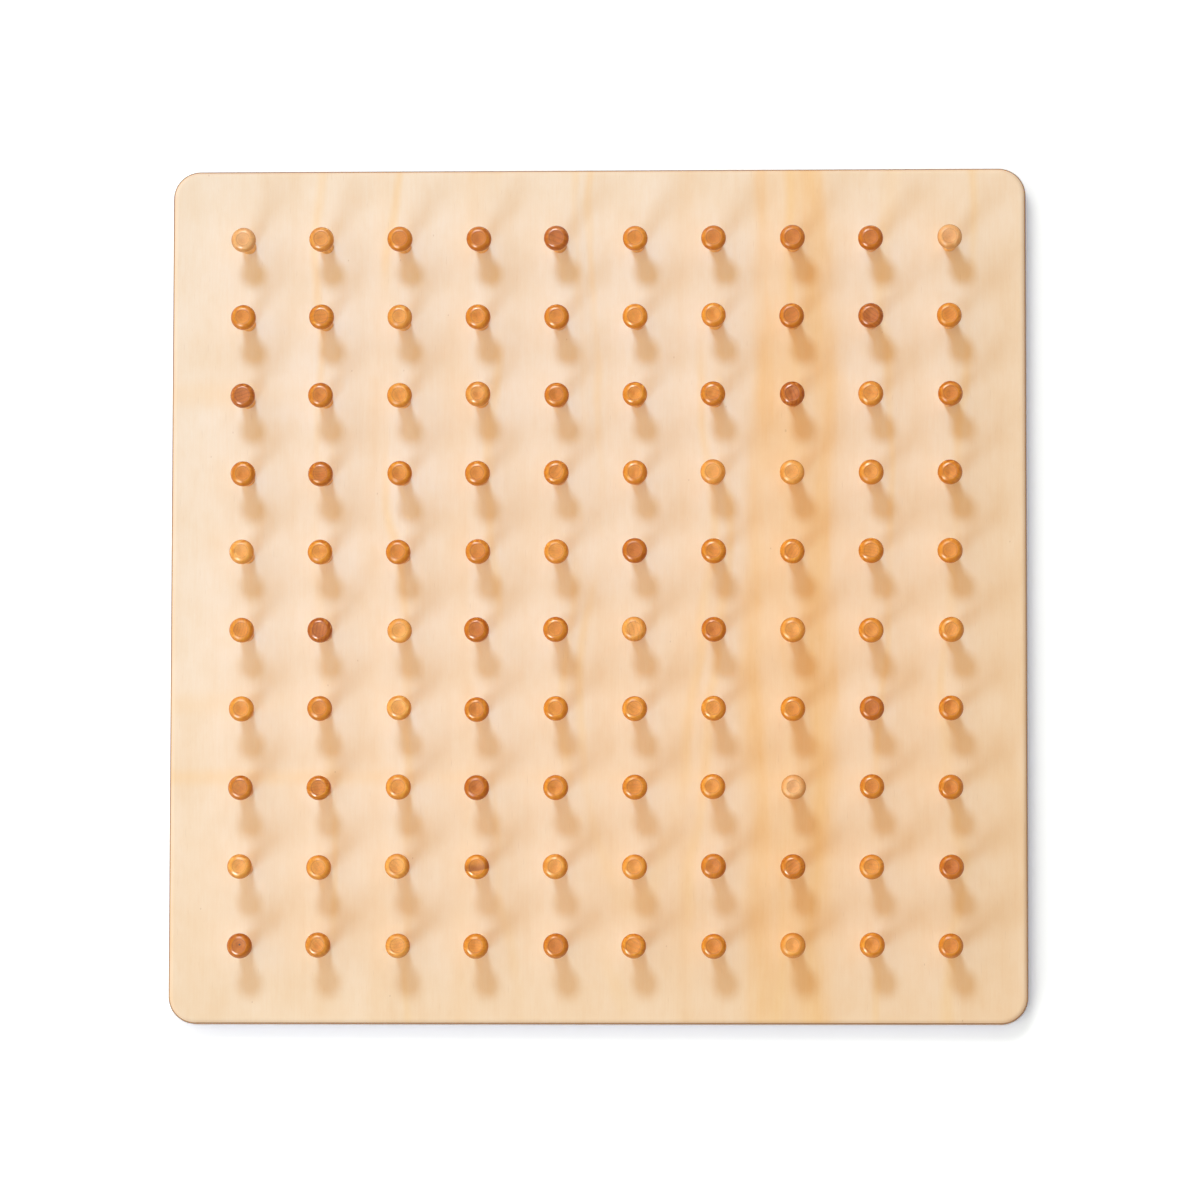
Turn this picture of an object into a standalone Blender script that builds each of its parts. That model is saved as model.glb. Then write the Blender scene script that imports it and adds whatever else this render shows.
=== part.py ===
"""A square plywood multiplication board with ten rows of ten turned, headed pegs.

Metres, +Z up. The origin is the centre of the board's underside, and +Y is the board's far edge.
"""
import math
import random

import bmesh
import bpy

# Driving dimensions of the board
BOARD_THICKNESS = 0.0120
EDGE_MARGIN = 0.0295      # from the board's edge to the axis of an outer peg
CORNER_RADIUS = 0.0105
EDGE_ROUND = 0.0012       # how far the top and bottom edges are rounded over
FLOOR_BELOW_HOLE = 0.0022

# Driving dimensions of the pegs
PEGS_PER_SIDE = 10
PEG_PITCH = 0.0300
SHANK_DIAMETER = 0.0056
SHANK_RISE = 0.0191       # bare shank between the board and the head
HEAD_DIAMETER = 0.0095
HEAD_HEIGHT = 0.0047
UNDERSIDE_DIAMETER = 0.0080   # the flat under the head, inside its rounded lower edge
LOWER_ROUND = 0.0012          # height of that rounded lower edge
CROWN_ROUND = 0.0023          # height of the rounded crown, up to the crest
CREST_DIAMETER = 0.0066   # the ring at the top of the head, round its dish
DISH_DEPTH = 0.0005

# The gap between a peg and its hole
CLEARANCE = 0.0003

# The pegs of a row are joined in short runs by a thin link, hidden inside the board
PEGS_PER_RUN = 2
LINK_WIDTH = 0.0006
LINK_HEIGHT = 0.0010
LINK_LIFT = 0.0015        # the link's underside above the foot of the peg

# How finely the round shapes are drawn
PEG_SIDES = 10
CORNER_STEPS = 6
ROUND_STEPS = 2
SMOOTH_BELOW = math.radians(50)

# Colours, as linear red, green and blue
BIRCH = (0.84, 0.63, 0.43)
HONEY = (0.74, 0.33, 0.09)
RUSSET = (0.40, 0.13, 0.05)
BOARD_ROUGHNESS = 0.5
PEG_ROUGHNESS = 0.3
TONE_SEED = 11
TONE_BIAS = 2             # above 1, most pegs lean to honey

# Sizes that follow from the driving dimensions
board_side = (PEGS_PER_SIDE - 1) * PEG_PITCH + 2 * EDGE_MARGIN
hole_depth = BOARD_THICKNESS - FLOOR_BELOW_HOLE
foot_height = CLEARANCE - hole_depth     # measured from the board's top, as all peg heights are
head_base = SHANK_RISE
head_top = SHANK_RISE + HEAD_HEIGHT
shank_radius = SHANK_DIAMETER / 2
head_radius = HEAD_DIAMETER / 2
crest_radius = CREST_DIAMETER / 2
hole_radius = shank_radius + CLEARANCE
link_bottom = foot_height + LINK_LIFT
link_top = link_bottom + LINK_HEIGHT


def clear_scene():
    for old in list(bpy.data.objects):
        bpy.data.objects.remove(old)


def wood(name, colour, roughness):
    material = bpy.data.materials.new(name)
    material.use_nodes = True
    shader = material.node_tree.nodes["Principled BSDF"]
    shader.inputs["Base Color"].default_value = (*colour, 1.0)
    shader.inputs["Roughness"].default_value = roughness
    shader.inputs["Metallic"].default_value = 0.0
    return material


def new_object(name, shape, material, parent, place):
    """Turns a bmesh into a named object and frees the bmesh."""
    bmesh.ops.recalc_face_normals(shape, faces=shape.faces)
    mesh = bpy.data.meshes.new(name)
    shape.to_mesh(mesh)
    shape.free()
    mesh.shade_smooth()
    mesh.set_sharp_from_angle(angle=SMOOTH_BELOW)
    made = bpy.data.objects.new(name, mesh)
    bpy.context.scene.collection.objects.link(made)
    if material:
        mesh.materials.append(material)
    made.parent = parent
    made.location = place
    return made


def peg_profile():
    """Radius and height of the peg's outline, from its foot to the middle of its dish."""
    return [
        (0.0, foot_height),
        (shank_radius, foot_height),
        (shank_radius, head_base),
        (UNDERSIDE_DIAMETER / 2, head_base),
        (head_radius, head_base + LOWER_ROUND),
        (head_radius, head_top - CROWN_ROUND),
        (crest_radius, head_top),
        (0.0, head_top - DISH_DEPTH),
    ]


def hole_profile():
    """The outline of the drill that makes a peg's hole, which starts above the board's top."""
    return [
        (0.0, -hole_depth),
        (hole_radius, -hole_depth),
        (hole_radius, CLEARANCE),
        (0.0, CLEARANCE),
    ]


def ring_points(radius, height, centre):
    """One turn of a round shape, with a flat side to +X and another to -X."""
    step = 2 * math.pi / PEG_SIDES
    turns = [(number - 0.5) * step for number in range(PEG_SIDES)]
    return [
        (centre[0] + radius * math.cos(a), centre[1] + radius * math.sin(a), height) for a in turns
    ]


def add_turned(shape, profile, centre, ways):
    """Adds a shape turned from a profile whose second stretch is the shank.

    ways holds, for each side that a link leaves by (+1 or -1 along X), the half width, bottom and top
    of that link. Returns the four corners of each such opening, by side.
    """
    rings = []
    for radius, height in profile:
        if radius:
            rings.append([shape.verts.new(p) for p in ring_points(radius, height, centre)])
        else:
            rings.append([shape.verts.new((centre[0], centre[1], height))])
    flat_of_way = {1: 0, -1: PEG_SIDES // 2}
    openings = {}
    for level, (low, high) in enumerate(zip(rings, rings[1:])):
        for side in range(PEG_SIDES):
            after = (side + 1) % PEG_SIDES
            corners = [low[side % len(low)], low[after % len(low)]]
            corners += [high[after % len(high)], high[side % len(high)]]
            way = next((w for w in ways if level == 1 and flat_of_way[w] == side), None)
            if way is None:
                shape.faces.new(list(dict.fromkeys(corners)))
            else:
                openings[way] = open_flat(shape, corners, ways[way])
    return openings


def open_flat(shape, corners, link):
    """Frames a link's rectangle inside one flat of a shank, and returns the rectangle's corners."""
    half_width, bottom, top = link
    middle = sum((corner.co for corner in corners), corners[0].co * 0) / 4
    turn = 1 if corners[1].co.y > corners[0].co.y else -1
    inner = []
    for across, height in ((-1, bottom), (1, bottom), (1, top), (-1, top)):
        inner.append(shape.verts.new((middle.x, middle.y + turn * across * half_width, height)))
    for here in range(4):
        after = (here + 1) % 4
        shape.faces.new((corners[here], corners[after], inner[after], inner[here]))
    return inner


def add_run(shape, profile, link, places):
    """Adds the turned shapes of one run, with a link from each to the next."""
    openings = []
    for number, place in enumerate(places):
        ways = {}
        if number > 0:
            ways[-1] = link
        if number < len(places) - 1:
            ways[1] = link
        openings.append(add_turned(shape, profile, place, ways))
    for left, right in zip(openings, openings[1:]):
        near = left[1]
        far = [right[-1][k] for k in (1, 0, 3, 2)]
        for here in range(4):
            after = (here + 1) % 4
            shape.faces.new((near[here], near[after], far[after], far[here]))


def outline(inset, height):
    """The board's rounded square, drawn in by inset, at a height."""
    reach = board_side / 2 - CORNER_RADIUS
    radius = CORNER_RADIUS - inset
    points = []
    for quarter, (x, y) in enumerate(((1, 1), (-1, 1), (-1, -1), (1, -1))):
        for step in range(CORNER_STEPS + 1):
            turn = (quarter + step / CORNER_STEPS) * math.pi / 2
            across = x * reach + radius * math.cos(turn)
            along = y * reach + radius * math.sin(turn)
            points.append((across, along, height))
    return points


def board_shape():
    """The board before drilling: rounded outlines stacked from the underside to the top."""
    levels = []
    for step in range(ROUND_STEPS + 1):
        turn = step / ROUND_STEPS * math.pi / 2
        levels.append((EDGE_ROUND * (1 - math.sin(turn)), EDGE_ROUND * (1 - math.cos(turn))))
    levels += [(inset, BOARD_THICKNESS - height) for inset, height in reversed(levels)]
    shape = bmesh.new()
    rings = [[shape.verts.new(p) for p in outline(inset, height)] for inset, height in levels]
    shape.faces.new(rings[0])
    shape.faces.new(rings[-1])
    for low, high in zip(rings, rings[1:]):
        for here in range(len(low)):
            after = (here + 1) % len(low)
            shape.faces.new((low[here], low[after], high[after], high[here]))
    return shape


def row_runs():
    """The places of the pegs, seen from the middle of the board's top, in rows and in runs."""
    first = -(PEGS_PER_SIDE - 1) / 2 * PEG_PITCH
    for row in range(PEGS_PER_SIDE):
        y = -first - row * PEG_PITCH
        for start in range(0, PEGS_PER_SIDE, PEGS_PER_RUN):
            columns = range(start, min(start + PEGS_PER_RUN, PEGS_PER_SIDE))
            yield row, columns, [(first + column * PEG_PITCH, y) for column in columns]


def make_drill(parent):
    """One cutter with every hole and the tunnels of the links."""
    tunnel = (LINK_WIDTH / 2 + CLEARANCE, link_bottom - CLEARANCE, link_top + CLEARANCE)
    shape = bmesh.new()
    for _, _, places in row_runs():
        add_run(shape, hole_profile(), tunnel, places)
    drill = new_object("peg_hole_cutter", shape, None, parent, (0.0, 0.0, BOARD_THICKNESS))
    drill.hide_render = True
    drill.display_type = "WIRE"
    return drill


def make_board(parent):
    plywood = wood("birch_plywood", BIRCH, BOARD_ROUGHNESS)
    board = new_object("board", board_shape(), plywood, parent, (0.0, 0.0, 0.0))
    # The face and the underside stay flat, and only the narrow strips round the edge are smooth
    for face in board.data.polygons:
        face.use_smooth = len(face.vertices) == 4
    cut = board.modifiers.new("peg_holes", "BOOLEAN")
    cut.operation = "DIFFERENCE"
    cut.solver = "EXACT"
    cut.object = make_drill(parent)
    return board


def make_pegs(parent):
    """A node for each run of pegs, each with its own tone between honey and russet."""
    link = (LINK_WIDTH / 2, link_bottom, link_top)
    tones = random.Random(TONE_SEED)
    made = []
    for row, columns, places in row_runs():
        name = f"row_{row + 1:02d}_pegs_" + "_".join(f"{column + 1:02d}" for column in columns)
        middle = sum(x for x, _ in places) / len(places)
        y = places[0][1]
        shape = bmesh.new()
        add_run(shape, peg_profile(), link, [(x - middle, 0.0) for x, _ in places])
        share = tones.random() ** TONE_BIAS
        colour = [a + (b - a) * share for a, b in zip(HONEY, RUSSET)]
        place = (middle, y, BOARD_THICKNESS)
        made.append(new_object(name, shape, wood(name, colour, PEG_ROUGHNESS), parent, place))
    return made


def build():
    clear_scene()
    whole = bpy.data.objects.new("multiplication_board", None)
    bpy.context.scene.collection.objects.link(whole)
    make_board(whole)
    pegs = make_pegs(whole)
    height = BOARD_THICKNESS + head_top
    print(f"board {board_side * 1000:.1f} mm square, {height * 1000:.1f} mm tall, {len(pegs)} runs of pegs")


build()
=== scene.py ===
# %% [markdown]
# # Dressing a multiplication board
# The object is a square plywood board that carries ten rows of ten turned pegs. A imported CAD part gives
# the true sizes and places, and this lesson lays the pieces that are seen over it: a drilled board with a
# veneer face and a layered edge, and a hundred pegs, each turned, varnished and glued in by itself.
# Lengths are in metres, +Z is up, and the origin is the middle of the board's underside.

# %% Load the CAD frame
import math
import random

import bmesh
import bpy
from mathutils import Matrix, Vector


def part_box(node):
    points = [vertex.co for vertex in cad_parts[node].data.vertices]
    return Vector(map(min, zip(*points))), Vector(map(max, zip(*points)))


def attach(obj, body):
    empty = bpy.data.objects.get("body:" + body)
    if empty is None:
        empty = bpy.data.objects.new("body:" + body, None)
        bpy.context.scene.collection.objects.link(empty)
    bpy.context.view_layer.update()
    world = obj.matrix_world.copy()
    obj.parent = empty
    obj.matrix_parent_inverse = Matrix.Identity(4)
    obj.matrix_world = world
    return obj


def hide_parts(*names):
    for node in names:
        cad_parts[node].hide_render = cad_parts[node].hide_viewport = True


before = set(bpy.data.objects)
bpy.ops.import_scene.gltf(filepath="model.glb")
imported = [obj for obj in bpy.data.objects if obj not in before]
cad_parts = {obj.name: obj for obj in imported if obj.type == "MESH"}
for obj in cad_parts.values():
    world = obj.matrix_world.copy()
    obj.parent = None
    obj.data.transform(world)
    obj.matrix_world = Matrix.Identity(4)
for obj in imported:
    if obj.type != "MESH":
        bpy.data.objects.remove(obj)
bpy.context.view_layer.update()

MM = 0.001
board_low, board_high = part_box("board")
board_side = board_high.x - board_low.x
board_top = board_high.z
print(f"board {board_side / MM:.1f} mm square and {board_top / MM:.1f} mm thick")

# %% [markdown]
# The pegs stand where the CAD says. One CAD node holds two neighbours of a row, so the middle of the
# node's box lies halfway between them, and each peg is half a pitch to one side of it. Reading the places
# off the frame is safer than writing them down again, because they then follow any change to the part.

# %% Find the pegs' places
PEG_PITCH = 30 * MM
peg_places = {}
for node_name in sorted(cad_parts):
    if not node_name.startswith("row_"):
        continue
    _, row, _, left_column, right_column = node_name.split("_")
    low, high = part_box(node_name)
    middle = (low + high) / 2
    head_top = high.z - board_top
    for column, way in ((left_column, -1), (right_column, 1)):
        spot = (middle.x + way * PEG_PITCH / 2, middle.y)
        peg_places[int(row), int(column)] = (spot, node_name)
print(f"{len(peg_places)} pegs, their heads {head_top / MM:.1f} mm above the board")

# %% [markdown]
# ## Camera
# The board is seen almost straight from above by a long lens from far off, which keeps the rows parallel.
# The pegs show which way the view leans: the heads of the far pegs hide less of their shanks than the near
# ones. The place and the turn below make all hundred heads fall where they should.

# %% Set up the camera
CAMERA_PLACE = (0.1102, -0.2018, 2.5094)
CAMERA_TURN = (4.574, 2.499, 0.092)     # degrees about X, Y and Z
CAMERA_LENS = 196.09                    # millimetres
SENSOR_WIDTH = 36                       # millimetres
CLIP_END = 20

scene = bpy.context.scene
camera = bpy.data.objects.new("camera", bpy.data.cameras.new("camera"))
scene.collection.objects.link(camera)
scene.camera = camera
camera.location = CAMERA_PLACE
camera.rotation_euler = [math.radians(turn) for turn in CAMERA_TURN]
camera.data.lens = CAMERA_LENS
camera.data.sensor_width = SENSOR_WIDTH
camera.data.clip_end = CLIP_END
scene.view_settings.view_transform = "Standard"
print(f"camera {Vector(CAMERA_PLACE).length:.2f} m from the board")

# %% [markdown]
# ## Floor
# The board lies on a plain white sheet, a subdivided plane that is large enough for a low view too. It is
# staged, so it counts as surroundings and not as a piece of the object. Its paper follows once the light
# is known.

# %% Lay the floor
FLOOR_SIDE = 12
FLOOR_PARTS = 8

floor_shape = bmesh.new()
bmesh.ops.create_grid(floor_shape, x_segments=FLOOR_PARTS, y_segments=FLOOR_PARTS, size=FLOOR_SIDE / 2)
floor_mesh = bpy.data.meshes.new("floor")
floor_shape.to_mesh(floor_mesh)
floor_shape.free()
floor = bpy.data.objects.new("floor", floor_mesh)
scene.collection.objects.link(floor)
print(f"floor {FLOOR_SIDE} m square")

# %% [markdown]
# ## Light
# Each peg throws two shadows on the board. The strong one runs down and a little to the right, so the main
# lamp hangs beyond the far edge. The faint one runs up and to the right, so a second lamp stands at the
# near left. Both shadows are soft, which asks for wide round lamps, and golden, so the light all round is
# warm and the lamps are cool. Their shares add up to one and their tints to white, so a colour renders
# about as it is written.
#
# A cool lamp would also leave blue gleams on the varnish and blue fringes on the floor. So each lamp is
# hung three times in one place: a cool one for the wood, a white one that only puts gleams on the pegs, and
# a wide one for the floor alone. Light linking keeps each to its own: a lamp shines only on the group of
# objects that it is given.

# %% Choose the shares and tints of the light
MAIN_SHARE = 0.31
SIDE_SHARE = 0.19
ROUND_SHARE = 0.50
LAMP_TINT = (0.56, 1.03, 1.59)
ROUND_TINT = (1.44, 0.97, 0.41)
WHITE = (1, 1, 1)

only_floor = bpy.data.collections.new("only_floor")
only_floor.objects.link(floor)
all_but_floor = bpy.data.collections.new("all_but_floor")
all_but_floor.objects.link(floor)
all_but_floor.collection_objects[0].light_linking.link_state = "EXCLUDE"
only_pegs = bpy.data.collections.new("only_pegs")       # filled when the pegs are made
for number, (lamp_tint, round_tint) in enumerate(zip(LAMP_TINT, ROUND_TINT)):
    total = lamp_tint * (MAIN_SHARE + SIDE_SHARE) + round_tint * ROUND_SHARE
    print(f"light in channel {number}: {total:.2f} of the plain level")

# %% Hang the lamps
MAIN_PLACE = (-0.30, 1.05, 1.81)
SIDE_PLACE = (-0.50, -0.57, 0.71)
MAIN_WIDTH = 0.42
SIDE_WIDTH = 0.45
MAIN_GLEAM = (0.55, 1.8)                # width of the lamp for the gleam, and its share
SIDE_GLEAM = (0.36, 2.1)
FLOOR_WIDER = 2.0                       # the floor's lamps are wider and weaker, for a softer shadow
FLOOR_WEAKER = 0.55


def hang_lamp(name, spot, width, share, tint):
    """A round lamp aimed at the board's middle, which gives that share of the plain light level there."""
    reach = Vector(spot) - Vector((0, 0, board_top))
    lamp = bpy.data.lights.new(name, "AREA")
    lamp.shape = "DISK"
    lamp.size = width
    lamp.color = tint
    slant = reach.z / reach.length
    lamp.energy = share * math.pi ** 2 * reach.length ** 2 / slant
    hung = bpy.data.objects.new(name, lamp)
    scene.collection.objects.link(hung)
    hung.location = spot
    hung.rotation_euler = reach.to_track_quat("Z", "Y").to_euler()
    hung.visible_camera = False
    return hung


def hang_lamp_set(name, spot, width, share, gleam_width, gleam_share):
    """The three lamps of one place: for the wood, for the pegs' gleam and for the floor."""
    for_wood = hang_lamp(name + "_for_wood", spot, width, share, LAMP_TINT)
    for_wood.visible_glossy = False
    for_wood.light_linking.receiver_collection = all_but_floor
    for_gleam = hang_lamp(name + "_for_gleam", spot, gleam_width, gleam_share, WHITE)
    for_gleam.visible_diffuse = False
    for_gleam.light_linking.receiver_collection = only_pegs
    for_floor = hang_lamp(name + "_for_floor", spot, FLOOR_WIDER * width, FLOOR_WEAKER * share, ROUND_TINT)
    for_floor.light_linking.receiver_collection = only_floor
    print(f"{name}: {for_wood.data.energy:.2f} W")


hang_lamp_set("main_lamp", MAIN_PLACE, MAIN_WIDTH, MAIN_SHARE, *MAIN_GLEAM)
hang_lamp_set("side_lamp", SIDE_PLACE, SIDE_WIDTH, SIDE_SHARE, *SIDE_GLEAM)

# %% [markdown]
# The light all round comes from the world. The right and near sides of the pegs are darker than the left
# and far ones, so it is stronger from the far left, while a flat board still gets the same in all. Rays
# from the camera, and those that glossy varnish sends on, should meet plain white instead, and Light Path
# tells them apart, so the background stays white without more light on the wood. Building a shader takes
# many small nodes, so one helper adds a node and fills its inputs with values or links, and another does
# one sum.

# %% Helpers for nodes
def add(tree, kind, inputs=None, **settings):
    """Adds a node, sets its choices, and fills each named input with a value or a link."""
    node = tree.nodes.new(kind)
    for name, choice in settings.items():
        setattr(node, name, choice)
    for socket, value in (inputs or {}).items():
        if isinstance(value, bpy.types.NodeSocket):
            tree.links.new(value, node.inputs[socket])
        else:
            node.inputs[socket].default_value = value
    return node


def calc(tree, operation, *values):
    """One sum, with numbers or links."""
    return add(tree, "ShaderNodeMath", dict(enumerate(values)), operation=operation).outputs[0]


def seen_directly(tree):
    """1 for rays from the camera and for those that gloss or glass sends on, otherwise 0."""
    rays = add(tree, "ShaderNodeLightPath").outputs
    seen = rays["Is Camera Ray"]
    for kind in ("Is Glossy Ray", "Is Transmission Ray"):
        seen = calc(tree, "MAXIMUM", seen, rays[kind])
    return seen


print("helpers for nodes are ready")

# %% Fill the world with light
ROUND_LEAN = (-0.76, 0.34, 0)           # towards the stronger side

world = bpy.data.worlds.new("studio")
world.use_nodes = True
scene.world = world
room = world.node_tree
room.nodes.clear()
ray_way = add(room, "ShaderNodeTexCoord").outputs["Generated"]
lean = add(room, "ShaderNodeVectorMath", {0: ray_way, 1: ROUND_LEAN}, operation="DOT_PRODUCT")
stronger = calc(room, "MULTIPLY_ADD", lean.outputs["Value"], ROUND_SHARE, ROUND_SHARE)
round_light = add(room, "ShaderNodeBackground", {"Color": (*ROUND_TINT, 1), "Strength": stronger})
white = add(room, "ShaderNodeBackground", {"Color": (*WHITE, 1), "Strength": 1})
room_inputs = {0: seen_directly(room), 1: round_light.outputs[0], 2: white.outputs[0]}
either = add(room, "ShaderNodeMixShader", room_inputs)
add(room, "ShaderNodeOutputWorld", {"Surface": either.outputs[0]})
print(f"world light {ROUND_SHARE:.2f} of the plain level")

# %% [markdown]
# The floor's paper undoes the tint of its light, so it is white and its shadow grey. What the camera sees
# of it is a little brighter than real paper, so it ends in white and still takes the board's soft shadow.

# %% Colour the paper
SEEN_PAPER = 1.78
REAL_PAPER = 1.00
PAPER_TINT = (1, 1.015, 0.985)

paper = bpy.data.materials.new("white_paper")
paper.use_nodes = True
sheet = paper.node_tree
sheet.nodes.clear()


def paper_shader(level):
    """A matt sheet that sends back that much of the floor's light, in its own tint."""
    colour = [level * own / tint for own, tint in zip(PAPER_TINT, ROUND_TINT)]
    return add(sheet, "ShaderNodeBsdfDiffuse", {"Color": (*colour, 1)}).outputs[0]


sheet_inputs = {0: seen_directly(sheet), 1: paper_shader(REAL_PAPER), 2: paper_shader(SEEN_PAPER)}
either = add(sheet, "ShaderNodeMixShader", sheet_inputs)
add(sheet, "ShaderNodeOutputMaterial", {"Surface": either.outputs[0]})
floor_mesh.materials.append(paper)
print(f"paper {REAL_PAPER:.2f} white, seen at {SEEN_PAPER:.2f}")

# %% [markdown]
# ## The board's shape
# The board is one sheet of plywood with rounded corners, eased edges and a drilled hole for each peg. A
# Boolean could drill it, but leaves one huge face with a hundred holes in it. Here each peg gets a square
# tile with a round hole, and the tiles share their sides, so every face is a neat quad. A margin then joins
# the tiles to the rounded outline.

# %% Draw the board's outline
CORNER_RADIUS = 10.5 * MM
CORNER_STEPS = 14
HOLE_SIDES = 24                         # a multiple of 8, so that a tile's corners are among its points
tile_half = PEG_PITCH / 2
grid_half = max(spot[0] for spot, _ in peg_places.values()) + tile_half


def tile_marks():
    """Where the tiles' points lie along one side of the grid."""
    eighth = HOLE_SIDES // 8
    turns = [math.radians(45) * step / eighth for step in range(-eighth, eighth)]
    columns = round(2 * grid_half / PEG_PITCH)
    starts = [-grid_half + tile_half + number * PEG_PITCH for number in range(columns)]
    return [start + tile_half * math.tan(turn) for start in starts for turn in turns] + [grid_half]


def outline(inset, height):
    """The board's rounded square, drawn in by inset, as pairs of a point and the grid point behind it."""
    far = board_side / 2 - inset
    centre = board_side / 2 - CORNER_RADIUS
    radius = CORNER_RADIUS - inset
    points = [((far, mark), (grid_half, mark)) for mark in tile_marks()]
    for step in range(CORNER_STEPS + 1):
        turn = math.radians(90) * step / CORNER_STEPS
        arc = (centre + radius * math.cos(turn), centre + radius * math.sin(turn))
        points.append((arc, (grid_half, grid_half)))
    ring = []
    for c, s in ((1, 0), (0, 1), (-1, 0), (0, -1)):
        for pair in points:
            ring.append([(x * c - y * s, x * s + y * c, height) for x, y in pair])
    return ring


print(f"{len(outline(0, 0))} points round the outline")

# %% Drill the tiles
HOLE_RADIUS = 2.81 * MM
HOLE_DEPTH = 9.8 * MM
RIM_EASE = 0.06 * MM
RIM_BEND = (0.3, 0.35)                  # how far in and down the rounding bends, in parts of its size


def quads_between(shape, first, second):
    """A closed strip of faces between two rows of points, with triangles where a row stands still."""
    made = []
    for here in range(len(first)):
        after = (here + 1) % len(first)
        corners = [first[here], first[after], second[after], second[here]]
        made.append(shape.faces.new(list(dict.fromkeys(corners))))
    return made


def drilled_tile(shape, x, y):
    """One square of the board's top, with the wall and the floor of its hole."""
    rims = (
        (HOLE_RADIUS + RIM_EASE, board_top),
        (HOLE_RADIUS + RIM_EASE * RIM_BEND[0], board_top - RIM_EASE * RIM_BEND[1]),
        (HOLE_RADIUS, board_top - RIM_EASE),
        (HOLE_RADIUS, board_top - HOLE_DEPTH),
    )
    turns = [2 * math.pi * number / HOLE_SIDES for number in range(HOLE_SIDES)]
    ways = [(math.cos(turn), math.sin(turn)) for turn in turns]
    square = []
    for c, s in ways:
        reach = tile_half / max(abs(c), abs(s))
        square.append(shape.verts.new((x + reach * c, y + reach * s, board_top)))
    rows = [square]
    for radius, height in rims:
        rows.append([shape.verts.new((x + radius * c, y + radius * s, height)) for c, s in ways])
    for outer, inner in zip(rows, rows[1:]):
        quads_between(shape, outer, inner)
    shape.faces.new(rows[-1])


print(f"holes {2 * HOLE_RADIUS / MM:.2f} mm wide and {HOLE_DEPTH / MM:.1f} mm deep")

# %% [markdown]
# The edges are rounded over. A ring of points is drawn for each step of the rounding, at the top and again
# at the underside, and strips of faces join them. The veneer still covers the first steps. Below them the
# layers of the plywood show, so those faces get a second material.

# %% Build the board's mesh
EDGE_ROUND = 2.2 * MM
ROUND_STEPS = 10
VENEER_STRIPS = 5                       # strips of the eased edge that the veneer still covers
MERGE = 1e-6


def board_shape():
    """The whole board: tiles, margin, eased edges, wall and underside."""
    shape = bmesh.new()
    for (x, y), _ in peg_places.values():
        drilled_tile(shape, x, y)
    levels = []
    for step in range(ROUND_STEPS + 1):
        turn = math.radians(90) * step / ROUND_STEPS
        levels.append((EDGE_ROUND * (1 - math.sin(turn)), EDGE_ROUND * (1 - math.cos(turn))))
    levels = [(inset, board_top - drop) for inset, drop in levels] + list(reversed(levels))
    rings = [[shape.verts.new(point) for point, _ in outline(*level)] for level in levels]
    grid_verts = {}
    behind = []
    for _, grid_point in outline(*levels[0]):
        key = tuple(round(value, 6) for value in grid_point)
        if key not in grid_verts:
            grid_verts[key] = shape.verts.new(grid_point)
        behind.append(grid_verts[key])
    quads_between(shape, behind, rings[0])
    for number, (upper, lower) in enumerate(zip(rings, rings[1:])):
        below_veneer = VENEER_STRIPS <= number < len(rings) - 1 - VENEER_STRIPS
        for face in quads_between(shape, upper, lower):
            face.material_index = 1 if below_veneer else 0
            face.smooth = True
    shape.faces.new(rings[-1])
    bmesh.ops.remove_doubles(shape, verts=shape.verts, dist=MERGE)
    bmesh.ops.recalc_face_normals(shape, faces=shape.faces)
    return shape


def named_object(name, shape):
    """Turns a bmesh into an object of the scene and frees the bmesh."""
    mesh = bpy.data.meshes.new(name)
    shape.to_mesh(mesh)
    shape.free()
    made = bpy.data.objects.new(name, mesh)
    scene.collection.objects.link(made)
    return made


board = named_object("drilled_board", board_shape())
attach(board, "root")
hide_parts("board")
print(f"board of {len(board.data.polygons)} faces")

# %% [markdown]
# ## The veneer face
# The face is a birch veneer that was peeled off the log in one long sheet. It is pale cream at the far left
# and warmer towards the near right, with fine straight grain up and down the board, a broad honey-coloured
# band right of the middle, and a few wandering lines where the knife ran through a year ring. All of it is
# drawn by noise in the board's own coordinates, so it needs no unwrapping and no picture. The helpers below
# keep the long chains of nodes readable.

# %% Helpers for finishes
MIX_SHARE, MIX_FIRST, MIX_SECOND, MIX_COLOUR = 0, 6, 7, 2     # the sockets of a Mix node set to colours


def blend(tree, share, first, second, way="MIX"):
    """Two colours mixed by a share."""
    inputs = {MIX_SHARE: share, MIX_FIRST: first, MIX_SECOND: second}
    return add(tree, "ShaderNodeMix", inputs, data_type="RGBA", blend_type=way).outputs[MIX_COLOUR]


def tinted(tree, share, colour, tint):
    """A colour that takes on a tint by a share."""
    return blend(tree, share, colour, blend(tree, 1.0, colour, tint, "MULTIPLY"))


def scaled(tree, colour, level):
    """A colour made lighter or darker."""
    return add(tree, "ShaderNodeVectorMath", {0: colour, "Scale": level}, operation="SCALE").outputs[0]


def length_of(tree, vector):
    """How long a vector is."""
    return add(tree, "ShaderNodeVectorMath", {0: vector}, operation="LENGTH").outputs["Value"]


def ease(tree, value, start, end, low=0.0, high=1.0):
    """A smooth change from low to high while the value runs from start to end."""
    inputs = {"Value": value, "From Min": start, "From Max": end, "To Min": low, "To Max": high}
    return add(tree, "ShaderNodeMapRange", inputs, interpolation_type="SMOOTHSTEP").outputs[0]


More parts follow.
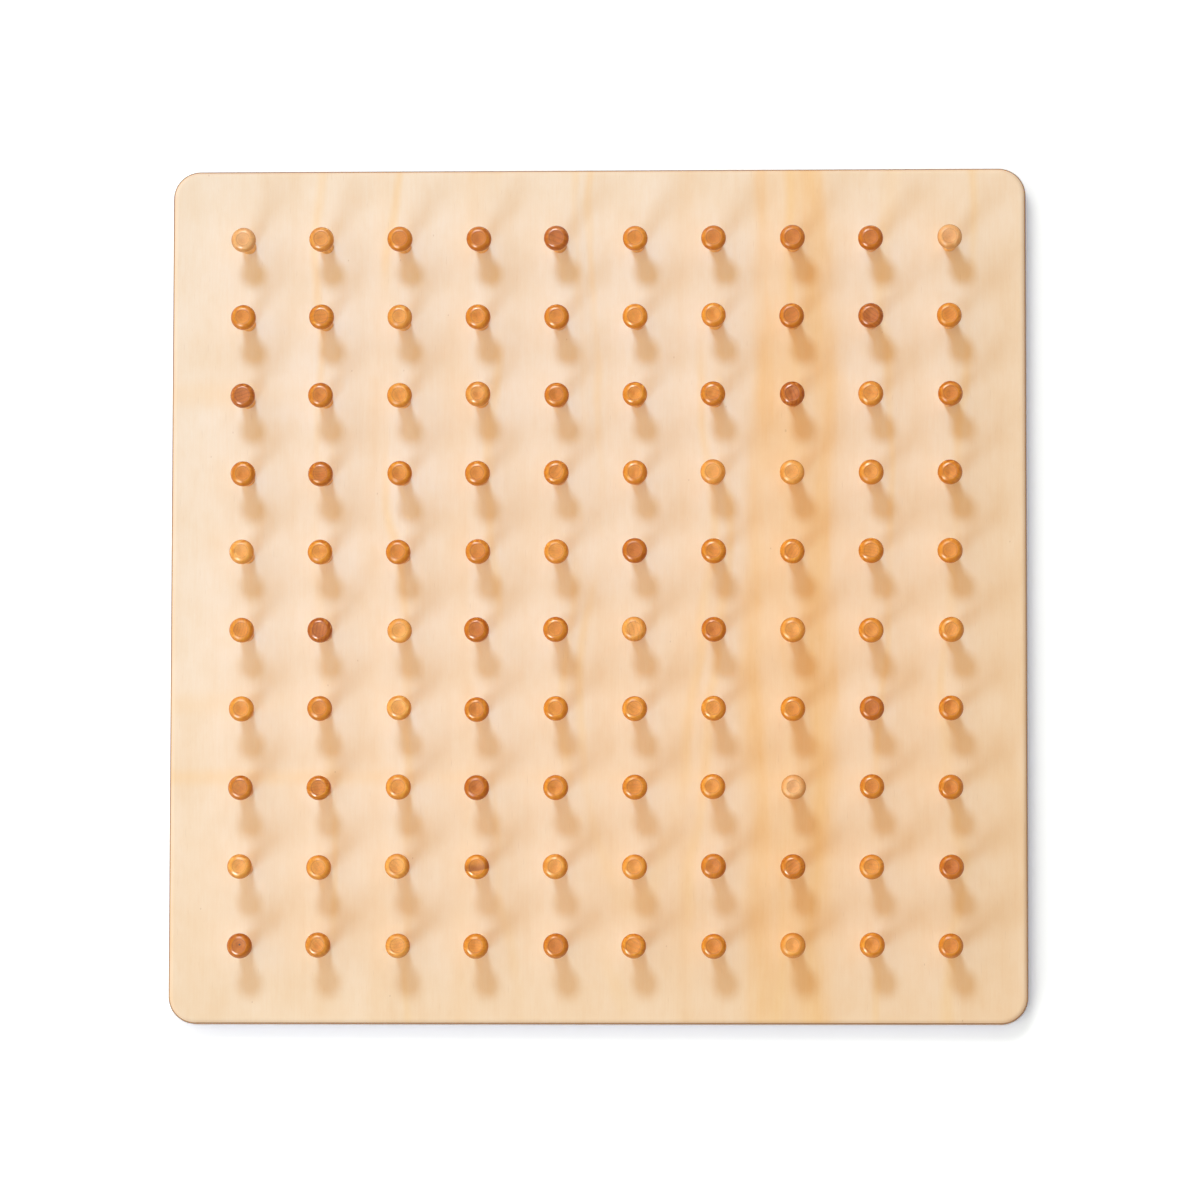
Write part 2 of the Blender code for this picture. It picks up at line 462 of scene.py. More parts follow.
def grain(tree, place, per_metre, detail=2.0, ragged=0.5, seed=None):
    """Noise with so many spots per metre along X, Y and Z."""
    spread = add(tree, "ShaderNodeVectorMath", {0: place, 1: per_metre}, operation="MULTIPLY").outputs[0]
    inputs = {"Vector": spread, "Scale": 1.0, "Detail": detail, "Roughness": ragged}
    if seed is None:
        return add(tree, "ShaderNodeTexNoise", inputs).outputs[0]
    inputs["W"] = seed
    return add(tree, "ShaderNodeTexNoise", inputs, noise_dimensions="4D").outputs[0]


def either_way(tree, noise, most):
    """Noise shifted to run both ways from zero, and scaled."""
    return calc(tree, "MULTIPLY", calc(tree, "SUBTRACT", noise, 0.5), most)


def away_from(tree, value, middle):
    """How far a value is from a middle, whichever way."""
    return calc(tree, "ABSOLUTE", calc(tree, "SUBTRACT", value, middle))


def new_finish(name):
    """A material, its node tree and its main shader."""
    material = bpy.data.materials.new(name)
    material.use_nodes = True
    return material, material.node_tree, material.node_tree.nodes["Principled BSDF"]


def roughen(tree, shader, height, strength, depth):
    """Gives a finish a slight relief."""
    relief = add(tree, "ShaderNodeBump", {"Height": height, "Strength": strength, "Distance": depth})
    tree.links.new(relief.outputs[0], shader.inputs["Normal"])


print("helpers for finishes are ready")

# %% Colour the veneer from corner to corner
CREAM = (0.968, 0.820, 0.660, 1)
PEACH = (0.978, 0.750, 0.515, 1)
SLIDE_RIGHT = 2.4                       # how fast the tone slides, for each metre to the right
# the slide towards the near edge is partly the veneer's own tone and partly painted shade, darker towards
# the near edge
SLIDE_FAR = -3.9
SLIDE_ENDS = (-0.40, 1.02)              # where it is all cream, and where all peach
BROAD = (22, 3, 1)                      # spots per metre, as for every grain below
BROAD_SHIFT = 0.7

veneer, face, face_shader = new_finish("birch_veneer")
place = add(face, "ShaderNodeTexCoord").outputs["Object"]
across, along, height = add(face, "ShaderNodeSeparateXYZ", {"Vector": place}).outputs
broad = grain(face, place, BROAD, detail=2.0)
slide_far = calc(face, "MULTIPLY", along, SLIDE_FAR)
slide = calc(face, "ADD", calc(face, "MULTIPLY", across, SLIDE_RIGHT), slide_far)
drift = calc(face, "ADD", slide, calc(face, "MULTIPLY", broad, BROAD_SHIFT))
tone = blend(face, ease(face, drift, *SLIDE_ENDS), CREAM, PEACH)
print("veneer: cream to peach")

# %% [markdown]
# The honey band is heartwood that the knife met on each turn of the log. Its distance from a middle line,
# shaken by slow noise, gives soft and uneven sides. Inside it run two denser streaks, and other noise makes
# it patchy along its length. Three fainter streaks stand left of it in the same way.

# %% Lay in the honey band and the streaks
HONEY_BAND = (0.970, 0.625, 0.285, 1)
BAND_PLACE = 75 * MM
BAND_CORE = 9 * MM
BAND_HALF = 21 * MM
BAND_STRENGTH = 0.62
BAND_SHAKE = 22 * MM
SHAKE = (26, 8, 1)
PATCHES = (70, 9, 1)
PATCHES_EASE = (0.3, 0.66, 0.35, 1.0)   # start, end, low and high, as for every ease below
STREAKS = (                             # place and half width in millimetres, and strength
    (63, 6, 0.55),
    (84, 7, 0.75),
    (-84, 8, 0.16),
    (-52, 9, 0.18),
    (33, 7, 0.14),
)

shaken = calc(face, "ADD", across, either_way(face, grain(face, place, SHAKE, detail=3.0), BAND_SHAKE))
patchy = ease(face, grain(face, place, PATCHES, detail=3.0), *PATCHES_EASE)


def soft_stripe(middle, core, half, strength):
    """How far a point is inside a soft upright stripe."""
    off = away_from(face, shaken, middle)
    return calc(face, "MULTIPLY", ease(face, off, core, half, strength, 0), patchy)


tone = blend(face, soft_stripe(BAND_PLACE, BAND_CORE, BAND_HALF, BAND_STRENGTH), tone, HONEY_BAND)
for middle, half, strength in STREAKS:
    tone = blend(face, soft_stripe(middle * MM, 0, half * MM, strength), tone, HONEY_BAND)
print(f"honey band at {BAND_PLACE / MM:.0f} mm and {len(STREAKS)} streaks")

# %% [markdown]
# Year rings show on peeled veneer as thin wandering lines. Most run up the board, and below the middle they
# close to the long loops that joiners call a flame. A stretched distance from the foot of the flame is the
# same along each loop, so the loops are the places where it passes a few chosen values. Slow noise makes
# them wander, and a second noise lets them fade in and out.

# %% Draw the flame and the wandering lines
LINE_COLOUR = (0.985, 0.690, 0.350, 1)
LINE_STRENGTH = 0.46
LINE_SWAY = 42 * MM
SWAY = (11, 6, 1)
FADING = (30, 11, 1)
FADING_EASE = (0.36, 0.62)
FLAME_MIDDLE = (18 * MM, -22 * MM)
FLAME_HALF = (22 * MM, 104 * MM)
LOOPS = (0.95, 1.25, 2.6, 4.3, 5.6)     # in half widths of the flame
LOOP_HALF = 0.14

swayed = calc(face, "ADD", across, either_way(face, grain(face, place, SWAY, detail=3.0), LINE_SWAY))
out = calc(face, "DIVIDE", calc(face, "SUBTRACT", swayed, FLAME_MIDDLE[0]), FLAME_HALF[0])
up_board = calc(face, "DIVIDE", calc(face, "SUBTRACT", along, FLAME_MIDDLE[1]), FLAME_HALF[1])
down = calc(face, "MINIMUM", up_board, 0)
loop_reach = length_of(face, add(face, "ShaderNodeCombineXYZ", {"X": out, "Y": down}).outputs[0])
lines = 0.0
for loop in LOOPS:
    line = ease(face, away_from(face, loop_reach, loop), 0, LOOP_HALF, LINE_STRENGTH, 0)
    lines = calc(face, "MAXIMUM", lines, line)
fading = ease(face, grain(face, place, FADING, detail=1.0), *FADING_EASE)
tone = blend(face, calc(face, "MULTIPLY", lines, fading), tone, LINE_COLOUR)
print(f"{len(LOOPS)} year lines")

# %% [markdown]
# Between the lines the veneer is softly mottled and cloudy, because its fibres wave in and out of the face.
# Close up it has hair-fine grain, and from the left edge a few of the knife's chatter marks run in. These
# are faint, a few parts in a hundred, and lean to gold rather than to grey, as oiled wood does.

# %% Mottle the veneer and add its grain
GOLD_SHADE = (0.965, 0.915, 0.840, 1)
MOTTLE = (36, 19, 1)
MOTTLE_EASE = (0.30, 0.70, 0.0, 0.72)
CLOUDS = (125, 62, 1)
CLOUDS_EASE = (0.34, 0.68, 0.0, 0.46)
MIDDLING = (260, 7, 1)
MIDDLING_EASE = (0.35, 0.75, 0.0, 0.40)
BY_MOTTLE = (0.35, 0.65, 0.2, 1)        # middling grain shows most where the mottling is dark
FINE = (1400, 80, 1)
FINE_EASE = (0.30, 0.72, 0.0, 0.36)

mottle = grain(face, place, MOTTLE, detail=3.5, ragged=0.6)
tone = tinted(face, ease(face, mottle, *MOTTLE_EASE), tone, GOLD_SHADE)
clouds = grain(face, place, CLOUDS, detail=4.0, ragged=0.68)
tone = tinted(face, ease(face, clouds, *CLOUDS_EASE), tone, GOLD_SHADE)
middling = grain(face, place, MIDDLING, detail=3.0, ragged=0.6)
by_mottle = ease(face, mottle, *BY_MOTTLE)
streaky = calc(face, "MULTIPLY", ease(face, middling, *MIDDLING_EASE), by_mottle)
tone = tinted(face, streaky, tone, GOLD_SHADE)
fine = grain(face, place, FINE, detail=3.0, ragged=0.65)
tone = tinted(face, ease(face, fine, *FINE_EASE), tone, GOLD_SHADE)
print("veneer: mottling, clouds and grain")

# %% Add the chatter marks
CHATTER_START = -155 * MM
CHATTERS = (        # place and half width in mm, strength, where it fades to, and the share left there
    (-70, 5, 0.34, 0, 0.32),
    (78, 8, 0.20, -90, 0.0),
    (-42, 7, 0.18, -90, 0.0),
)

for chatter_place, half, strength, faded_at, left_over in CHATTERS:
    off = away_from(face, along, chatter_place * MM)
    reach = ease(face, across, CHATTER_START, faded_at * MM, 1.0, left_over)
    mark = calc(face, "MULTIPLY", ease(face, off, 0, half * MM, strength, 0), reach)
    tone = blend(face, mark, tone, HONEY_BAND)
print(f"veneer: {len(CHATTERS)} chatter marks")

# %% [markdown]
# Last come short brown pores and a rare speck. The left and near margins get a painted shade, a slightly
# darker colour that stands in for less light there. The eased edges are a little darker too, because the
# sandpaper cut a little way through. The grain that was drawn above also drives the sheen and a slight
# bump.

# %% Add pores, painted shade and sheen
PORE_BROWN = (0.50, 0.27, 0.12, 1)
RIM_TINT = (0.965, 0.945, 0.950, 1)
PORES = (2400, 150, 1)
PORES_EASE = (0.70, 0.80, 0.0, 0.16)
SPECKS = (700, 420, 1)
SPECKS_EASE = (0.885, 0.91, 0.0, 0.30)
# painted shade: the left and near margins are darker, standing in for less light there
LEFT_PAINTED_SHADE = (-165 * MM, -105 * MM, 0.962, 1.0)
NEAR_PAINTED_SHADE = (-165 * MM, -20 * MM, 0.965, 1.0)
RIM_EASED = (board_top - 0.30 * MM, board_top - 0.02 * MM, 1.0, 0.0)
VENEER_SHEEN = (0.3, 0.7, 0.42, 0.54)
VENEER_RELIEF = (0.25, 0.05 * MM)       # strength and depth
VENEER_GLOSS = 0.20

pores = ease(face, grain(face, place, PORES, detail=1.0), *PORES_EASE)
tone = blend(face, pores, tone, PORE_BROWN)
specks = ease(face, grain(face, place, SPECKS, detail=0.0), *SPECKS_EASE)
tone = blend(face, specks, tone, PORE_BROWN)
# painted shade on the left and near margins
painted_shade = calc(face, "MULTIPLY", ease(face, across, *LEFT_PAINTED_SHADE), ease(face, along, *NEAR_PAINTED_SHADE))
tone = scaled(face, tone, painted_shade)
tone = tinted(face, ease(face, height, *RIM_EASED), tone, RIM_TINT)

face.links.new(tone, face_shader.inputs["Base Color"])
face.links.new(ease(face, middling, *VENEER_SHEEN), face_shader.inputs["Roughness"])
roughen(face, face_shader, fine, *VENEER_RELIEF)
face_shader.inputs["Specular IOR Level"].default_value = VENEER_GLOSS
board.data.materials.append(veneer)
print("veneer: pores, specks and sheen")

# %% [markdown]
# ## The layered edge
# The edge shows the layers of the plywood. Their grain crosses by turns, so each layer shows either long
# grain, which is pale, or end grain, which drinks the varnish and goes brown. The two swap places between
# neighbouring sides, and a thin dark line of glue parts each pair. Height gives the layer, and the way the
# wall faces tells which kind shows.

# %% Sort the layers
LAYERS = 9
LAYER_WANDER = 0.35                     # in layers
WANDER = (40, 40, 40)
SIDEWAYS_EASE = (-0.25, 0.25)
GLUE_EASE = (0.03, 0.10, 0.75, 0)       # in layers

layered, edge, edge_shader = new_finish("birch_ply_edge")
place = add(edge, "ShaderNodeTexCoord").outputs["Object"]
height = add(edge, "ShaderNodeSeparateXYZ", {"Vector": place}).outputs["Z"]
wander = either_way(edge, grain(edge, place, WANDER), LAYER_WANDER)
count = calc(edge, "ADD", calc(edge, "MULTIPLY", height, LAYERS / board_top), wander)
odd = calc(edge, "MODULO", calc(edge, "FLOOR", count), 2)
facing = add(edge, "ShaderNodeNewGeometry").outputs["Normal"]
facing_x, facing_y, _ = add(edge, "ShaderNodeSeparateXYZ", {"Vector": facing}).outputs
turned = calc(edge, "SUBTRACT", calc(edge, "ABSOLUTE", facing_x), calc(edge, "ABSOLUTE", facing_y))
sideways = ease(edge, turned, *SIDEWAYS_EASE)
end_share = calc(edge, "SUBTRACT", 1, away_from(edge, odd, sideways))
within = calc(edge, "FRACT", count)
to_glue = calc(edge, "MINIMUM", within, calc(edge, "SUBTRACT", 1, within))
glue = ease(edge, to_glue, *GLUE_EASE)
print(f"{LAYERS} layers of {board_top / LAYERS / MM:.2f} mm")

# %% Add grain and varnish to the edge
LONG_GRAIN = (0.80, 0.53, 0.29)
END_GRAIN = (0.58, 0.33, 0.155)
GLUE_BROWN = (0.22, 0.10, 0.045, 1)
EASED_BROWN = (0.34, 0.168, 0.070, 1)   # the rounded part drinks the most varnish
EASED_SHARE = 0.82
EASED_START = board_top / 2 - 1.05 * EDGE_ROUND     # from the middle of the board's thickness
EASED_FULL = board_top / 2 - 0.75 * EDGE_ROUND
STREAKED = (60, 60, 2600)
STREAKED_EASE = (0.3, 0.7, 0.86, 1.10)
STIPPLED = (1700, 1700, 1700)
STIPPLED_EASE = (0.3, 0.7, 0.74, 1.22)
EDGE_SHEEN = (0.74, 1.22, 0.52, 0.40)
EDGE_RELIEF = (0.3, 0.06 * MM)

streaks = ease(edge, grain(edge, place, STREAKED, detail=3.0), *STREAKED_EASE)
stipple = ease(edge, grain(edge, place, STIPPLED, detail=2.0), *STIPPLED_EASE)
tone = blend(edge, end_share, scaled(edge, LONG_GRAIN, streaks), scaled(edge, END_GRAIN, stipple))
tone = blend(edge, glue, tone, GLUE_BROWN)
from_middle = away_from(edge, height, board_top / 2)
tone = blend(edge, ease(edge, from_middle, EASED_START, EASED_FULL, 0, EASED_SHARE), tone, EASED_BROWN)
edge.links.new(tone, edge_shader.inputs["Base Color"])
edge.links.new(ease(edge, stipple, *EDGE_SHEEN), edge_shader.inputs["Roughness"])
roughen(edge, edge_shader, stipple, *EDGE_RELIEF)
board.data.materials.append(layered)
print("edge: long grain, end grain and glue lines")

# %% [markdown]
# ## The pegs' shape
# A peg is a piece of turned hardwood: a plain shank, and a head like a button, with a rounded side, a
# raised lip, a small step inside it, and a shallow dish with a mark in the middle. On a lathe a cutter
# follows one outline while the wood spins, and the same works here: the outline is drawn once as a line of
# points, and bmesh spins it round the axis. Heights count from the board's top.

# %% Draw a peg's outline
SHANK_RADIUS = 2.8 * MM
FOOT = -9.3 * MM
FOOT_IN = 0.45 * MM                     # the foot is tapered, so that it finds its hole
FOOT_UP = 0.6 * MM
HEAD_BASE = 19.1 * MM
SHANK_RINGS = (0, 0.33, 0.66)           # extra points up the shank, in parts of its height
NECK_ROUND = 0.35 * MM
NECK_BEND = 0.1 * MM
HEAD_RADIUS = 4.75 * MM
UNDERSIDE_RADIUS = 3.9 * MM
LOWER_ROUND = 1.2 * MM
CROWN_ROUND = 2.7 * MM
ARC_STEPS = 6
DISH_STEPS = 9
LIP_IN = 0.10 * MM
LIP_DOWN = 0.03 * MM
STEP_WIDTH = 0.24 * MM                  # a small step parts the lip from the dish
STEP_DEPTH = 0.13 * MM
HOLLOW = 1.8                            # how gently the dish starts at its rim
MARK_RADIUS = 0.32 * MM
MARK_FLOOR = 0.45                       # its floor's radius and its tip's depth, in parts of the mark's own
MARK_TIP = 1.3
LIP_RADII = (2.65, 2.95)                # millimetres, from the smallest to the largest
DISH_DEPTHS = (0.58, 0.95)
MARK_DEPTHS = (0.02, 0.16)


def peg_outline(head, crest, dish, mark):
    """Radius and height from the foot to the dish, for the radius of head and lip and two depths."""
    points = [(0, FOOT), (SHANK_RADIUS - FOOT_IN, FOOT), (SHANK_RADIUS, FOOT + FOOT_UP)]
    points += [(SHANK_RADIUS, HEAD_BASE * share) for share in SHANK_RINGS]
    points += [(SHANK_RADIUS, HEAD_BASE - NECK_ROUND), (SHANK_RADIUS + NECK_BEND, HEAD_BASE - NECK_BEND)]
    points += [(SHANK_RADIUS + NECK_ROUND, HEAD_BASE)]
    for number in range(ARC_STEPS + 1):
        turn = math.radians(90) * number / ARC_STEPS
        radius = UNDERSIDE_RADIUS + (head - UNDERSIDE_RADIUS) * math.sin(turn)
        points.append((radius, HEAD_BASE + LOWER_ROUND * (1 - math.cos(turn))))
    for number in range(2 * ARC_STEPS + 1):
        turn = math.radians(90) * number / (2 * ARC_STEPS)
        radius = crest + (head - crest) * math.cos(turn)
        points.append((radius, head_top - CROWN_ROUND * (1 - math.sin(turn))))
    rim = crest - STEP_WIDTH
    points += [(crest - LIP_IN, head_top - LIP_DOWN), (rim, head_top - STEP_DEPTH)]
    for number in range(1, DISH_STEPS + 1):
        inward = number / DISH_STEPS
        radius = MARK_RADIUS + (rim - MARK_RADIUS) * (1 - inward)
        hollow = (1 - (radius / rim) ** 2) ** HOLLOW
        points.append((radius, head_top - STEP_DEPTH - (dish - STEP_DEPTH) * hollow))
    bottom = points[-1][1]
    points += [(MARK_RADIUS * MARK_FLOOR, bottom - mark), (0, bottom - mark * MARK_TIP)]
    return points


smallest = [sizes[0] * MM for sizes in (LIP_RADII, DISH_DEPTHS, MARK_DEPTHS)]
print(f"{len(peg_outline(HEAD_RADIUS, *smallest))} points in a peg's outline")

# %% Spin the outline
TURN_STEPS = 36
SHARP_ABOVE = math.radians(48)


def turned_peg(name, points):
    """A peg turned from its outline."""
    shape = bmesh.new()
    line = [shape.verts.new((radius, 0, height)) for radius, height in points]
    ends = [shape.edges.new(pair) for pair in zip(line, line[1:])]
    whole = {"angle": 2 * math.pi, "steps": TURN_STEPS, "use_merge": True}
    bmesh.ops.spin(shape, geom=line + ends, cent=(0, 0, 0), axis=(0, 0, 1), **whole)
    bmesh.ops.remove_doubles(shape, verts=shape.verts, dist=MERGE)
    bmesh.ops.recalc_face_normals(shape, faces=shape.faces)
    peg = named_object(name, shape)
    peg.data.shade_smooth()
    peg.data.set_sharp_from_angle(angle=SHARP_ABOVE)
    return peg


print(f"{TURN_STEPS} steps to a turn")

# %% [markdown]
# ## The pegs' finish
# The pegs are hardwood under amber varnish, and one material serves all of them. Each object's own colour
# is its tone. Five numbers kept on the object say the rest: how far the tree's heart lay off the peg's
# axis, where the noise starts, how wide and how dark the years are, and how wide the lip is. Year rings are
# circles round the heart, so they run along the shank and cross the head by themselves, as in real wood.
# Where the heart lies inside the peg, its pith shows as a dark dot.

# %% Draw the pegs' wood
RING_DARK = (0.38, 0.20, 0.08, 1)
PITH_BROWN = (0.10, 0.04, 0.015, 1)
PITH_EASE = (0.25 * MM, 0.55 * MM, 0.95, 0)
LATE_START = (0.45, 0.92)               # in parts of a year
LATE_END = (0.94, 1.0, 1.0, 0.0)
BENDS = (160, 160, 30)
CALM = 300 / MM                         # the wider the years, the less they wave
PEG_NUMBERS = ("heart_away", "grain_start", "year_width", "ring_depth", "lip_radius")

varnished, wood, wood_shader = new_finish("varnished_peg_wood")
place = add(wood, "ShaderNodeTexCoord").outputs["Object"]
own_tone = add(wood, "ShaderNodeObjectInfo").outputs["Color"]
heart, start, year_width, ring_depth, lip = [
    add(wood, "ShaderNodeAttribute", attribute_type="OBJECT", attribute_name=name).outputs["Fac"]
    for name in PEG_NUMBERS
]

out_x, out_y, up = add(wood, "ShaderNodeSeparateXYZ", {"Vector": place}).outputs
off_x = calc(wood, "SUBTRACT", out_x, heart)
distance = length_of(wood, add(wood, "ShaderNodeCombineXYZ", {"X": off_x, "Y": out_y}).outputs[0])
bend = grain(wood, place, BENDS, detail=2.0, seed=start)
wave = calc(wood, "DIVIDE", calc(wood, "SUBTRACT", bend, 0.5), calc(wood, "MULTIPLY", year_width, CALM))
years = calc(wood, "DIVIDE", calc(wood, "ADD", distance, wave), year_width)
season = calc(wood, "FRACT", years)
late_wood = calc(wood, "MULTIPLY", ease(wood, season, *LATE_START), ease(wood, season, *LATE_END))
tone = tinted(wood, calc(wood, "MULTIPLY", late_wood, ring_depth), own_tone, RING_DARK)
tone = blend(wood, ease(wood, distance, *PITH_EASE), tone, PITH_BROWN)
print("pegs: year rings and pith")

# %% [markdown]
# The varnish is glossy on the lip and dull in the dish, which is end grain. A dark line is tinted into the
# small step between the two. The head's rounded side is tinted darker, a painted shade for the side that
# turns away from the light above. The shank shows long grain, so it is a lighter gold with streaks along
# it. How far a point lies from the axis, counted in lip radii, tells dish, step, lip and side apart.

# %% Tint head and shank, with painted shade on the head's side
DISH_TINT = (0.94, 0.88, 0.90, 1)
STEP_TINT = (0.70, 0.52, 0.38, 1)
# painted shade: the head's rounded side is darker, as it turns away from the light above
SIDE_PAINTED_SHADE = (0.86, 0.79, 0.72, 1)
SHANK_GOLD = (0.97, 0.55, 0.145)
SHANK_SHARE = (0, 1, 0.72, 0)
DISH_EASE = (0.4, 1.0, 1, 0)            # in lip radii, as for step and side
STEP_AT = 0.93
STEP_EASE = (0.02, 0.10, 0.55, 0)
SHADED_SIDE_EASE = (1.25, 1.65)
FIBRES = (2100, 2100, 70)
FIBRES_EASE = (0.25, 0.75, 0.91, 1.08)
LONG_STREAKS = (1000, 1000, 24)
LONG_EASE = (0.32, 0.68, 0.76, 1.08)

fibres = grain(wood, place, FIBRES, detail=3.0, ragged=0.6, seed=start)
tone = scaled(wood, tone, ease(wood, fibres, *FIBRES_EASE))
off_axis = length_of(wood, add(wood, "ShaderNodeCombineXYZ", {"X": out_x, "Y": out_y}).outputs[0])
on_head = ease(wood, up, HEAD_BASE + LOWER_ROUND, HEAD_BASE + 2 * LOWER_ROUND)
share_out = calc(wood, "DIVIDE", off_axis, lip)
in_dish = calc(wood, "MULTIPLY", ease(wood, share_out, *DISH_EASE), on_head)
off_step = away_from(wood, share_out, STEP_AT)
in_step = calc(wood, "MULTIPLY", ease(wood, off_step, *STEP_EASE), on_head)
on_shaded_side = ease(wood, share_out, *SHADED_SIDE_EASE)
tone = tinted(wood, in_dish, tone, DISH_TINT)
tone = tinted(wood, in_step, tone, STEP_TINT)
# painted shade on the head's rounded side
tone = tinted(wood, on_shaded_side, tone, SIDE_PAINTED_SHADE)
long_grain = grain(wood, place, LONG_STREAKS, detail=3.0, ragged=0.6, seed=start)
shank_tone = scaled(wood, SHANK_GOLD, ease(wood, long_grain, *LONG_EASE))
tone = blend(wood, ease(wood, on_head, *SHANK_SHARE), tone, shank_tone)
wood.links.new(tone, wood_shader.inputs["Base Color"])
print("pegs: fibres, dish, step, side and shank")

# %% Give the varnish its sheen
BLOTCHES = (420, 420, 260)
LIP_SHEEN = (0.3, 0.7, 0.18, 0.25)
DULL_EASE = (0.90, 1.06, 1, 0)          # in lip radii
DISH_DULL = 0.55
SHANK_DULL = 0.35
PEG_GLOSS = 0.22
PEG_RELIEF = (0.25, 0.05 * MM)
LATHE_STEP = 0.42 * MM                  # from one turning mark to the next
LATHE_DEPTH = 0.10

blotch = grain(wood, place, BLOTCHES, detail=2.0, seed=start)
dull = calc(wood, "MULTIPLY", ease(wood, share_out, *DULL_EASE), on_head)
off_head = calc(wood, "SUBTRACT", 1, on_head)
sheen = calc(wood, "ADD", ease(wood, blotch, *LIP_SHEEN), calc(wood, "MULTIPLY", dull, DISH_DULL))
sheen = calc(wood, "ADD", sheen, calc(wood, "MULTIPLY", off_head, SHANK_DULL))
wood.links.new(sheen, wood_shader.inputs["Roughness"])
turns = calc(wood, "MULTIPLY", calc(wood, "ADD", up, off_axis), 2 * math.pi / LATHE_STEP)
marks = calc(wood, "ADD", fibres, calc(wood, "MULTIPLY", calc(wood, "SINE", turns), LATHE_DEPTH))
roughen(wood, wood_shader, marks, *PEG_RELIEF)
wood_shader.inputs["Specular IOR Level"].default_value = PEG_GLOSS
print("pegs: sheen and turning marks")

# %% [markdown]
# ## A hundred pegs
# No two pegs are alike. Most are amber, some are paler honey and a few are dark or rosy. Each leans by a
# fraction of a degree, is turned to its own side, sits a hair higher or lower, and has a lip and a dish of
# its own size. A seeded draw gives the same hundred each time. A few pegs that catch the eye are named by
# row and column and get a listed tone. Two of these have a mark of their own: a pith dot, and a dark band
# that is one wide year across the head.

# %% Mix the pegs' tones
PALE_HONEY = (0.91, 0.430, 0.090)
AMBER = (0.80, 0.302, 0.026)
CHESTNUT = (0.57, 0.160, 0.007)
ROSY = (0.56, 0.163, 0.017)
PALE = (0.84, 0.462, 0.190)
DARK_PEGS = {(8, 4), (6, 4), (7, 9), (5, 6), (1, 9), (9, 10), (10, 1)}      # row and column
ROSY_PEGS = {(3, 1), (3, 8), (6, 2), (2, 9), (1, 5)}
PALE_PEGS = {(8, 8), (1, 10), (1, 1)}
HONEY_PEGS = {(9, 3), (6, 3), (6, 6), (4, 8), (5, 1), (9, 1)}
PITH_PEG = (10, 1)                      # cut from the middle of a branch
BANDED_PEG = (9, 4)                     # a dark year runs right across its head
TONE_DRAW = (0.02, 0.40)                # middle and spread, from honey below zero to chestnut above it
ROSY_DRAW = (-0.15, 0.22)
MOST_TONE = 0.75
MOST_ROSY = 0.6
DARK_LEAST = 0.05                       # how far a named peg leaves its tone
DARK_MORE = 0.25
ROSY_MORE = 0.3
PALE_PART = 0.70
HONEY_MORE = 0.5


def between(first, second, share):
    """A colour part of the way from one to another."""
    return [a + (b - a) * share for a, b in zip(first, second)]


def peg_tone(key, pick):
    """The tone of one peg: a draw for most, and a named tone for the few that stand out."""
    lean = pick.gauss(*TONE_DRAW)
    rosy = max(0, pick.gauss(*ROSY_DRAW))
    if key == BANDED_PEG:
        return AMBER
    if key in DARK_PEGS:
        return between(CHESTNUT, AMBER, DARK_LEAST + DARK_MORE * abs(lean))
    if key in ROSY_PEGS:
        return between(ROSY, CHESTNUT, ROSY_MORE * abs(lean))
    if key in PALE_PEGS:
        return between(PALE_HONEY, PALE, PALE_PART)
    if key in HONEY_PEGS:
        return between(PALE_HONEY, AMBER, HONEY_MORE * abs(lean))
    drawn = between(AMBER, PALE_HONEY if lean < 0 else CHESTNUT, min(abs(lean), MOST_TONE))
    return between(drawn, ROSY, min(rosy, MOST_ROSY))


by_hand = DARK_PEGS | ROSY_PEGS | PALE_PEGS | HONEY_PEGS | {BANDED_PEG}
print(f"{len(by_hand)} pegs get their tone by hand")

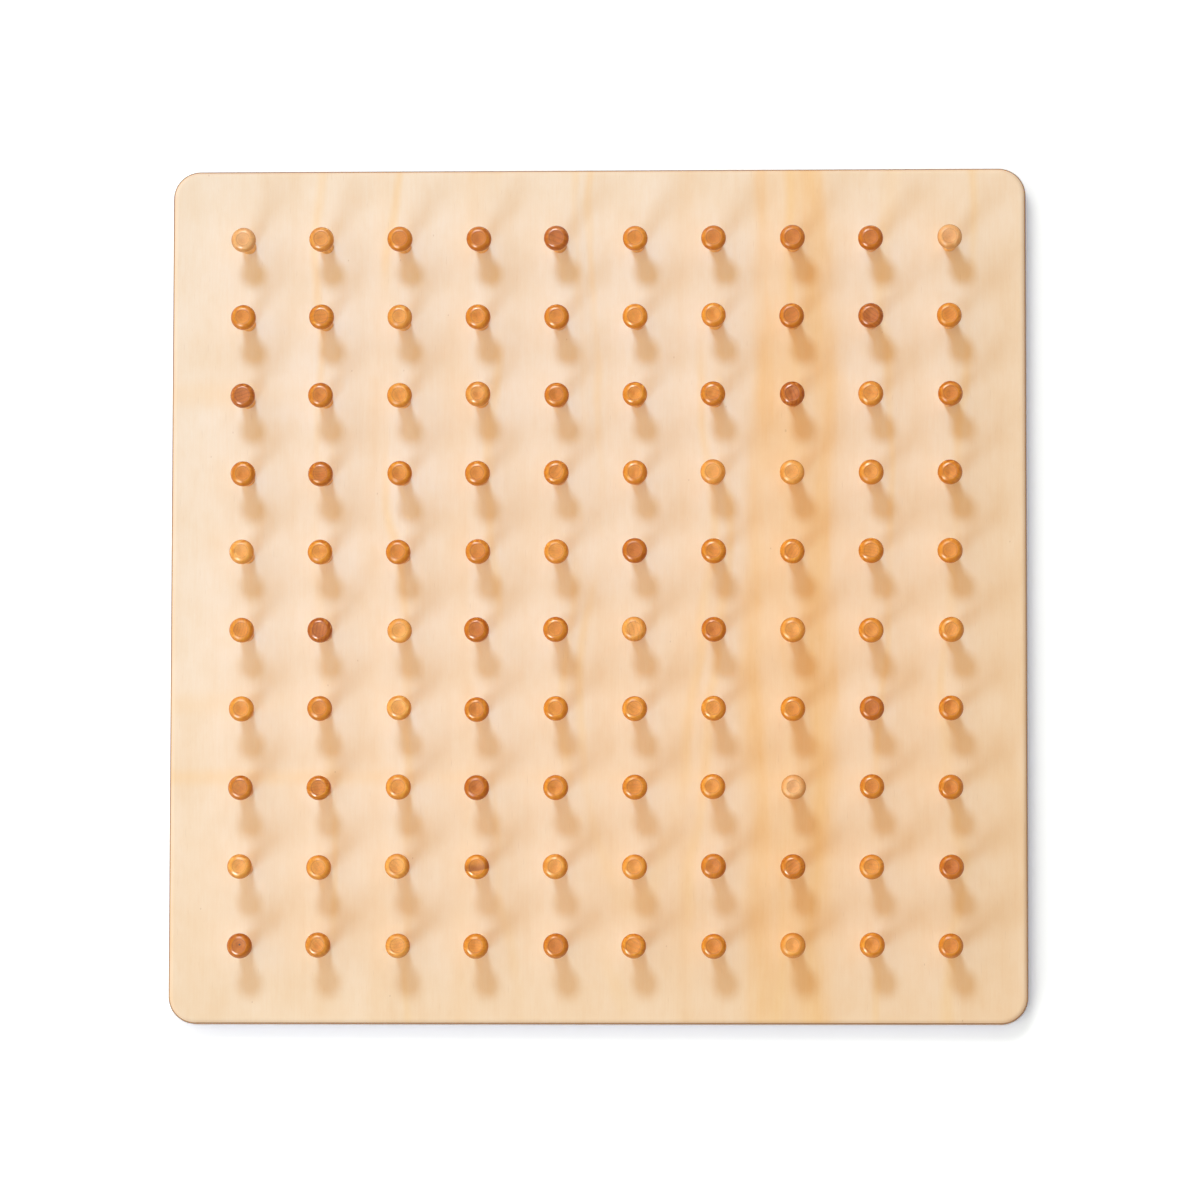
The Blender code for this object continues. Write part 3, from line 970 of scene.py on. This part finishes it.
# %% Say where in the tree a peg was cut
HEARTS = (5, 26)                        # millimetres off the axis, nearest and farthest
YEARS = (1.0, 1.9)                      # millimetres, narrowest and widest
STARTS = (0, 100)
LEAST_DEPTH = 0.03
MORE_DEPTH = 0.17                       # times the square of a draw, so that dark rings are rare
ROSY_DEPTH = 0.27
PALE_DEPTH = 0.04
PITH_HEART = 0.5 * MM
BAND_HEART = 22.2 * MM                  # puts the dark end of one wide year across the head
BAND_YEAR = 8 * MM
BAND_DEPTH = 0.72
BAND_TURN = math.radians(97)


def cut_from_tree(peg, key, crest, pick):
    """Keeps the five numbers of its wood on a peg."""
    peg["heart_away"] = pick.uniform(*HEARTS) * MM
    peg["grain_start"] = pick.uniform(*STARTS)
    peg["year_width"] = pick.uniform(*YEARS) * MM
    peg["ring_depth"] = LEAST_DEPTH + MORE_DEPTH * pick.random() ** 2
    peg["lip_radius"] = crest
    if key in ROSY_PEGS:
        peg["ring_depth"] = ROSY_DEPTH
    if key in PALE_PEGS:
        peg["ring_depth"] = PALE_DEPTH
    if key == PITH_PEG:
        peg["heart_away"] = PITH_HEART
    if key == BANDED_PEG:
        peg["heart_away"] = BAND_HEART
        peg["year_width"] = BAND_YEAR
        peg["ring_depth"] = BAND_DEPTH
        peg.rotation_euler.z = BAND_TURN


print(f"years from {YEARS[0]} to {YEARS[1]} mm wide")

# %% Turn, varnish and set the pegs
PEG_SEED = 31
LEAN = math.radians(0.42)
SINK = 0.28 * MM
HEAD_SPREAD = (-0.010, 0.018)

pick = random.Random(PEG_SEED)
for key in sorted(peg_places):
    (x, y), node_name = peg_places[key]
    row, column = key
    head = HEAD_RADIUS * (1 + pick.uniform(*HEAD_SPREAD))
    crest = pick.uniform(*LIP_RADII) * MM
    dish = pick.uniform(*DISH_DEPTHS) * MM
    mark = pick.uniform(*MARK_DEPTHS) * MM
    peg = turned_peg(f"peg_r{row:02d}_c{column:02d}", peg_outline(head, crest, dish, mark))
    peg.location = (x, y, board_top + pick.uniform(-SINK, 0))
    peg.rotation_euler = (pick.gauss(0, LEAN), pick.gauss(0, LEAN), pick.uniform(0, 2 * math.pi))
    peg.color = (*peg_tone(key, pick), 1)
    cut_from_tree(peg, key, crest, pick)
    peg.data.materials.append(varnished)
    only_pegs.objects.link(peg)
    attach(peg, "root")
    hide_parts(node_name)
print(f"{len(peg_places)} pegs of {len(peg.data.polygons)} faces each")
